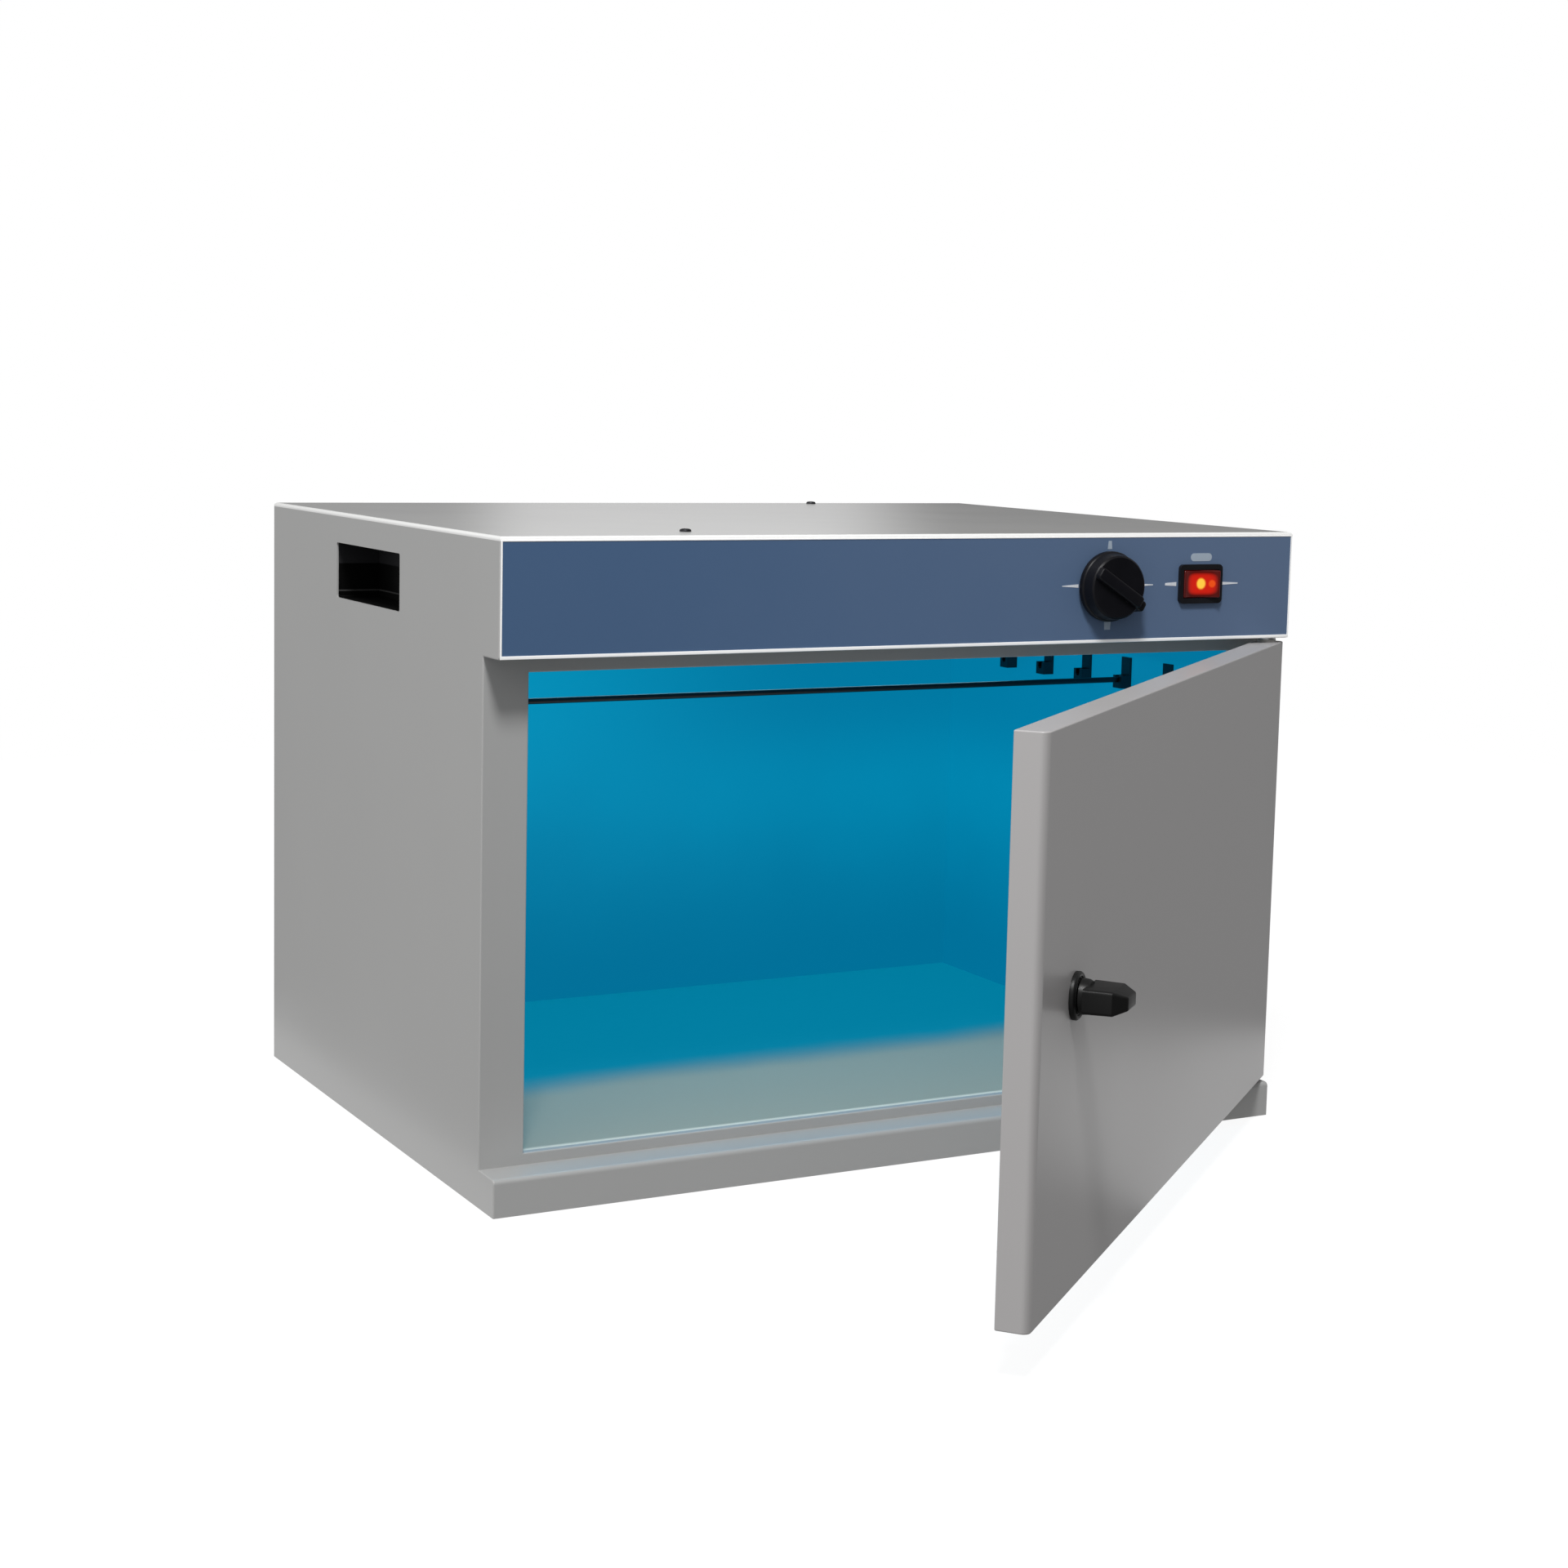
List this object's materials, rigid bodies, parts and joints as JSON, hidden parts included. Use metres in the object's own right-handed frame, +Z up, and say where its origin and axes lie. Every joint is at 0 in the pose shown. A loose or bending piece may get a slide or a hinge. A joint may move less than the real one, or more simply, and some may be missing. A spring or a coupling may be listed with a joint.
{
  "type": "uv sterilizer box",
  "caption": "Sheet-metal bench cabinet with a recessed hinged door, latch, timer knob, lit rocker switch, hanging rod and an ultraviolet lamp, for sterilizing small hung items.",
  "frame": {"origin": "centre of the base panel's underside, on the surface the cabinet stands on", "axes": "+Z up, front faces -Y, +X to the right of a person in front of it; the door is stored 40 degrees open, as pictured"},
  "size_m": [0.5715, 0.7799, 0.4018],
  "materials": {
    "cabinet_paint": "satin light grey enamel",
    "door_paint": "satin light grey enamel",
    "panel_film": "printed slate-blue film, bare",
    "liner_sheet": "plain bright sheet",
    "galvanised": "galvanised",
    "black_moulding": "satin black",
    "black_knob": "black",
    "black_screw": "black oxide",
    "fixings": "zinc plated",
    "rod_steel": "dark burnished",
    "red_lens": "translucent red",
    "lamp_glass": "clear quartz",
    "neon_glass": "clear",
    "lamp_metal": "plain",
    "white_moulding": "white",
    "ballast_case": "white enamel",
    "wire_sleeve": "black insulation",
    "bumper_rubber": "black"
  },
  "bodies": {
    "cabinet": {"back_panel": "cabinet_paint", "back_screws": "fixings", "ballast": "ballast_case", "ballast_screws": "fixings", "base_panel": "galvanised", "chamber_back_wall": "liner_sheet", "chamber_ceiling": "liner_sheet", "chamber_floor": "liner_sheet", "chamber_left_wall": "liner_sheet", "chamber_right_wall": "liner_sheet", "control_panel": "cabinet_paint", "corner_angles": "galvanised", "floor_supports": "galvanised", "front_frame": "cabinet_paint", "hinge_nuts": "fixings", "inlet_screws": "fixings", "lamp_end_caps": "lamp_metal", "lamp_holders": "white_moulding", "lamp_reflector": "liner_sheet", "left_handle_cup": "black_moulding", "left_rod_hooks": "rod_steel", "left_side_panel": "cabinet_paint", "lid_cleats": "galvanised", "lower_hinge_pin": "fixings", "neon_lamp": "neon_glass", "panel_overlay": "panel_film", "plinth": "cabinet_paint", "power_inlet": "black_moulding", "right_handle_cup": "black_moulding", "right_rod_hooks": "rod_steel", "right_side_panel": "cabinet_paint", "starter": "lamp_metal", "starter_socket": "white_moulding", "switch_housing": "black_moulding", "terminal_block": "white_moulding", "timer_body": "black_moulding", "timer_screws": "fixings", "top_panel": "cabinet_paint", "top_screws": "black_screw", "upper_hinge_pin": "fixings", "uv_lamp_tube": "lamp_glass", "wiring": "wire_sleeve"},
    "door": {"door_outer_pan": "door_paint", "door_inner_panel": "door_paint", "door_screws": "fixings", "door_bumpers": "bumper_rubber", "upper_door_bush": "white_moulding", "lower_door_bush": "white_moulding", "latch_flange": "black_knob", "latch_nut": "fixings"},
    "latch": {"latch_knob": "black_knob", "latch_spindle": "fixings", "latch_cam": "fixings", "cam_screw": "fixings"},
    "timer_control": {"timer_knob": "black_knob", "timer_shaft": "fixings"},
    "switch_key": {"switch_rocker": "red_lens"},
    "rod": {"hanging_rod": "rod_steel"}
  },
  "joints": [
    {"name": "door_hinge", "type": "hinge", "parent": "cabinet", "child": "door", "pos_m": [0.275, -0.2, 0.1765], "axis": [0, 0, 1], "range_deg": [-40, 70]},
    {"name": "latch_turn", "type": "hinge", "parent": "door", "child": "latch", "pos_m": [-0.10419, -0.51818, 0.18425], "axis": [-0.6428, 0.766, 0], "range_deg": [0, 90]},
    {"name": "timer_turn", "type": "hinge", "parent": "cabinet", "child": "timer_control", "pos_m": [0.1345, -0.2, 0.366], "axis": [0, 1, 0], "range_deg": [-122, 178]},
    {"name": "switch_rock", "type": "hinge", "parent": "cabinet", "child": "switch_key", "pos_m": [0.2088, -0.2096, 0.3665], "axis": [0, 0, 1], "range_deg": [0, 16]},
    {"name": "rod_lift", "type": "slide", "parent": "cabinet", "child": "rod", "axis": [0, 0, 1], "range_m": [0, 0.012]}
  ]
}
